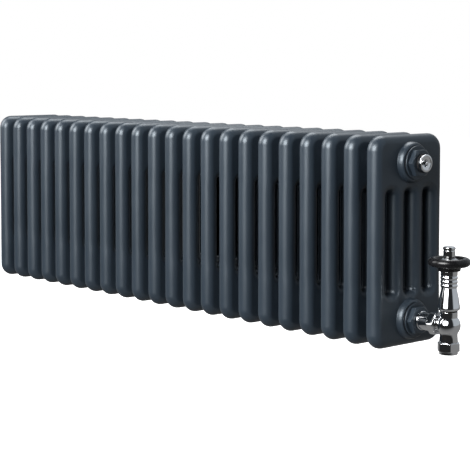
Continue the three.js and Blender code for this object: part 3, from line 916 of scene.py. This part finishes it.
def make_setting_parts():
    """The ridged wax capsule, the threaded spindle above it, and the clip that holds the wheel."""
    ridge = [(7.8, 0, 0.5), (7.8, 1.3, 0.5), (6.9, 1.7, 0.4), (6.9, 2.5, 0.4)]
    capsule = [
        (0, 43.3),
        (2.5, 43.3, 0.4),
        (2.5, 46),
        (6.9, 47.5, 0.4),
        *repeated(ridge, 48.4, 3, 4),
        (7.0, 61.2, 0.4),
        (6.2, 62),
        (0, 62),
    ]
    turned("sensor_capsule", capsule, "steel", "setting")
    thread_turn = [(7.15, 0), (7.15, 0.6), (6.6, 0.9), (6.6, 1.4)]
    spindle = [
        (3, 65),
        (3, 62.3),
        (7.8, 62.3, 0.3),
        (7.8, 64.5, 0.3),
        (6.6, 64.5),
        *repeated(thread_turn, 66, 1.75, 8),
        (6.6, 80.6),
        (6.2, 81),
        (3, 81, 0.3),
    ]
    turned("setting_spindle", spindle, "spindle_plastic", "setting")
    turned("wheel_clip", ring(8.9, 9.9, 70.3, 71.3, 0.25), "steel")


def make_handwheel():
    """The black wheel with its chrome washer and knob, and the screw that holds them together."""
    rim_r, rim_level, rim_section = 23.5, 88, 6
    wheel = [
        (7.5, 66, 0.3),
        (9.6, 66, 0.4),
        (9.6, 70),
        (8.3, 70),
        (8.3, 71.6),
        (9.6, 71.6),
        (9.6, 75.8),
        (15.6, 75.8, 0.8),
        (15.9, 79.0, 0.8),
        (18.4, 82.3, 1.2),
        *arc(rim_r, rim_level, rim_section, -112, 176, 40),
        (16.4, 86.6, 1.0),
        (12.9, 86.6, 0.7),
        (12.2, 91, 0.4),
        (2.3, 91, 0.2),
        (2.3, 86),
        (7.5, 86),
    ]
    turned("handwheel", wheel, "handwheel", "handwheel", sides=128)
    washer = [(2.3, 91.3), (11.5, 91.3, 0.3), (11.5, 91.9, 0.5), (9.5, 92.6, 0.6), (2.3, 92.6)]
    turned("wheel_washer", washer, "chrome", "handwheel")
    knob = [
        (0, 101.8),
        (2.3, 101.8),
        (2.3, 92.9),
        (8.4, 92.9, 0.4),
        (8.3, 103.4, 0.3),
        (7.7, 104.1, 0.3),
        (7.7, 104.9, 0.3),
        (8.7, 105.5, 0.5),
        (8.85, 107.9, 0.9),
        (7.6, 109.2, 0.6),
        (4.0, 109.6),
        (0, 109.6),
    ]
    turned("top_knob", knob, "chrome", "handwheel")
    screw = [(0, 83.3), (3.3, 83.3, 0.4), (3.6, 85.7, 0.2), (2, 85.7), (2, 101.5, 0.4), (0, 101.5)]
    turned("knob_screw", screw, "steel", "handwheel", sides=48)


# ---- Setting ----


def towards(azimuth, elevation):
    """A direction from the object: azimuth from +X towards +Y and elevation, in degrees."""
    around, up = math.radians(azimuth), math.radians(elevation)
    return Vector((math.cos(up) * math.cos(around), math.cos(up) * math.sin(around), math.sin(up)))


def aim(obj, at):
    """Turns a light or a camera to look at a place."""
    obj.rotation_mode = "QUATERNION"
    obj.rotation_quaternion = (obj.location - at).to_track_quat("Z", "Y")


def add_softbox(name, azimuth, elevation, distance, width, height, brightness):
    """A soft light that fades from its middle, as bright as a white wall lit that many times over."""
    full_within, faded_at = 0.2, 0.62  # distances from its middle, where its width and height are 1
    middle_share, edge_share = 1.3, 0.1
    light = bpy.data.lights.new(name, "AREA")
    light.use_nodes = True
    tree = light.node_tree
    place = add_node(tree, "ShaderNodeNewGeometry", {}).outputs["Parametric"]
    inputs = {0: place, 1: (0.5, 0.5, 0)}
    offset = add_node(tree, "ShaderNodeVectorMath", inputs, operation="DISTANCE").outputs["Value"]
    fade = map_range(tree, offset, full_within, faded_at, middle_share, edge_share, "SMOOTHSTEP")
    tree.links.new(fade, tree.nodes["Emission"].inputs["Strength"])
    light.shape = "RECTANGLE"
    light.size = width
    light.size_y = height
    light.energy = brightness * math.pi * width * height
    obj = bpy.data.objects.new(name, light)
    bpy.context.collection.objects.link(obj)
    obj.location = wheel_axis + towards(azimuth, elevation) * distance
    aim(obj, wheel_axis)
    obj.visible_camera = False


def along(tree, place, direction):
    """How far a place lies in a direction, or the cosine between two directions."""
    inputs = {0: place, 1: direction}
    return add_node(tree, "ShaderNodeVectorMath", inputs, operation="DOT_PRODUCT").outputs["Value"]


def light_surround():
    """A white background for the camera. The object is lit by a darker one, and mirrors it: a pale
    backdrop behind the object, and near black elsewhere."""
    backdrop = towards(71, 0)
    dark_until, pale_from = 0.15, 0.38  # cosines between a direction and the backdrop
    dark, pale = (0.02, 0.021, 0.022, 1), (0.42, 0.45, 0.48, 1)
    fill_strength = 0.45  # for all but mirrored light
    world = bpy.data.worlds.new("studio")
    bpy.context.scene.world = world
    world.use_nodes = True
    tree = world.node_tree
    surround = tree.nodes["Background"]
    direction = add_node(tree, "ShaderNodeTexCoord", {}).outputs["Generated"]
    facing = along(tree, direction, backdrop)
    share = map_range(tree, facing, dark_until, pale_from, 0, 1, "SMOOTHSTEP")
    ramp = add_node(tree, "ShaderNodeValToRGB", {"Fac": share})
    ramp.color_ramp.elements[0].color = dark
    ramp.color_ramp.elements[1].color = pale
    tree.links.new(ramp.outputs["Color"], surround.inputs["Color"])
    path = add_node(tree, "ShaderNodeLightPath", {}).outputs
    strength = map_range(tree, path["Is Glossy Ray"], 0, 1, fill_strength, 1)
    tree.links.new(strength, surround.inputs["Strength"])
    white = add_node(tree, "ShaderNodeBackground", {"Color": (1, 1, 1, 1), "Strength": 1.0})
    end_with_mix(tree, path["Is Camera Ray"], surround, white, "World Output")


def light_studio():
    """Three soft lights and the surround. Azimuths, elevations and sizes are in degrees and metres."""
    add_softbox("main_softbox", -86, 24, distance=2.5, width=2.3, height=1.9, brightness=13.5)
    add_softbox("left_softbox", -152, 26, distance=2.2, width=1.5, height=1.7, brightness=5.0)
    add_softbox("top_softbox", 150, 58, distance=2.3, width=2.4, height=1.6, brightness=4.0)
    light_surround()


def add_sheet(name, corners):
    """A flat sheet, from its corners in metres."""
    mesh = add_mesh(name, [Vector(corner) / MM for corner in corners], [[0, 1, 2, 3]])
    return add_object(name, mesh)


def add_floor():
    """A pale floor. The object sees it darker than the camera does, and darkest towards the room."""
    drop, half = 0.12, 6.0
    near_glow, far_glow, fill = 0.24, 0.02, 0.08
    fade_from, fade_to = 0.15, 0.6  # metres towards the room
    level = cad_low.z - drop
    corners = [(-half, -half, level), (half, -half, level), (half, half, level), (-half, half, level)]
    obj = add_sheet("floor", corners)
    material = new_material("pale_floor")
    tree = material.node_tree
    pale = tree.nodes["Principled BSDF"]
    pale.inputs["Base Color"].default_value = (0.8, 0.8, 0.8, 1)
    pale.inputs["Roughness"].default_value = 0.9
    pale.inputs["Emission Color"].default_value = (1, 1, 1, 1)
    pale.inputs["Emission Strength"].default_value = 1.0
    spot = add_node(tree, "ShaderNodeTexCoord", {}).outputs["Object"]
    ahead = along(tree, spot, towards(-80, 0))
    glow = map_range(tree, ahead, fade_from, fade_to, near_glow, far_glow, "SMOOTHSTEP")
    path = add_node(tree, "ShaderNodeLightPath", {}).outputs
    strength = map_range(tree, path["Is Glossy Ray"], 0, 1, fill, glow)
    dim = add_node(tree, "ShaderNodeEmission", {"Strength": strength})
    end_with_mix(tree, path["Is Camera Ray"], dim, pale, "Material Output")
    obj.data.materials.append(material)


def add_painted_gap_shade():
    """Painted shade: a black sheet close behind the rear tubes. Only the camera sees it, from the
    front, so the gaps between the tubes look dark.
    """
    level, margin = 0.002, 0.036
    left = centre_of(SECTION_NODES[0]).x
    right = centre_of(SECTION_NODES[-1]).x
    low = section_low.z + margin
    high = section_high.z - margin
    corners = [(left, level, low), (right, level, low), (right, level, high), (left, level, high)]
    obj = add_sheet("flag", corners)
    material = new_material("painted_gap_shade_black")
    tree = material.node_tree
    tree.nodes.remove(tree.nodes["Principled BSDF"])
    # painted shade: black on its front for the camera, clear from behind
    black = add_node(tree, "ShaderNodeBsdfDiffuse", {"Color": (0.0, 0.0, 0.0, 1)})
    clear = add_node(tree, "ShaderNodeBsdfTransparent", {})
    behind = add_node(tree, "ShaderNodeNewGeometry", {}).outputs["Backfacing"]
    end_with_mix(tree, behind, black, clear, "Material Output")
    obj.data.materials.append(material)
    # the painted shade casts no shadow and lights nothing
    obj.visible_diffuse = False
    obj.visible_glossy = False
    obj.visible_shadow = False
    obj.visible_transmission = False


def add_camera():
    """The photo's viewpoint, fitted to the outlines of its tubes, headers and slots."""
    data = bpy.data.cameras.new("camera")
    camera = bpy.data.objects.new("camera", data)
    bpy.context.collection.objects.link(camera)
    camera.location = (1.8547, -1.6071, 0.3925)
    data.sensor_width = 36
    data.lens = 111.26
    data.shift_y = -0.1977
    yaw, pitch = math.radians(41.37), math.radians(3.25)
    level_ahead = Vector((-math.cos(yaw), math.sin(yaw), 0))
    ahead = level_ahead * math.cos(pitch) - Vector((0, 0, math.sin(pitch)))
    aim(camera, camera.location + ahead)
    data.clip_start = 0.05
    data.clip_end = 50
    bpy.context.scene.camera = camera


add_camera()
light_studio()
add_floor()
# painted shade in the gaps between the tubes
add_painted_gap_shade()
make_sections()
ports = make_bushes()
make_vent(ports["valve_end_top"])
make_blanking_plug(ports["far_end_top"])
make_valve_body()
make_pipe_union()
make_radiator_union()
make_insert()
make_return_spring()
make_bell()
make_neck()
make_setting_parts()
make_handwheel()

bpy.context.scene.view_settings.view_transform = "Standard"
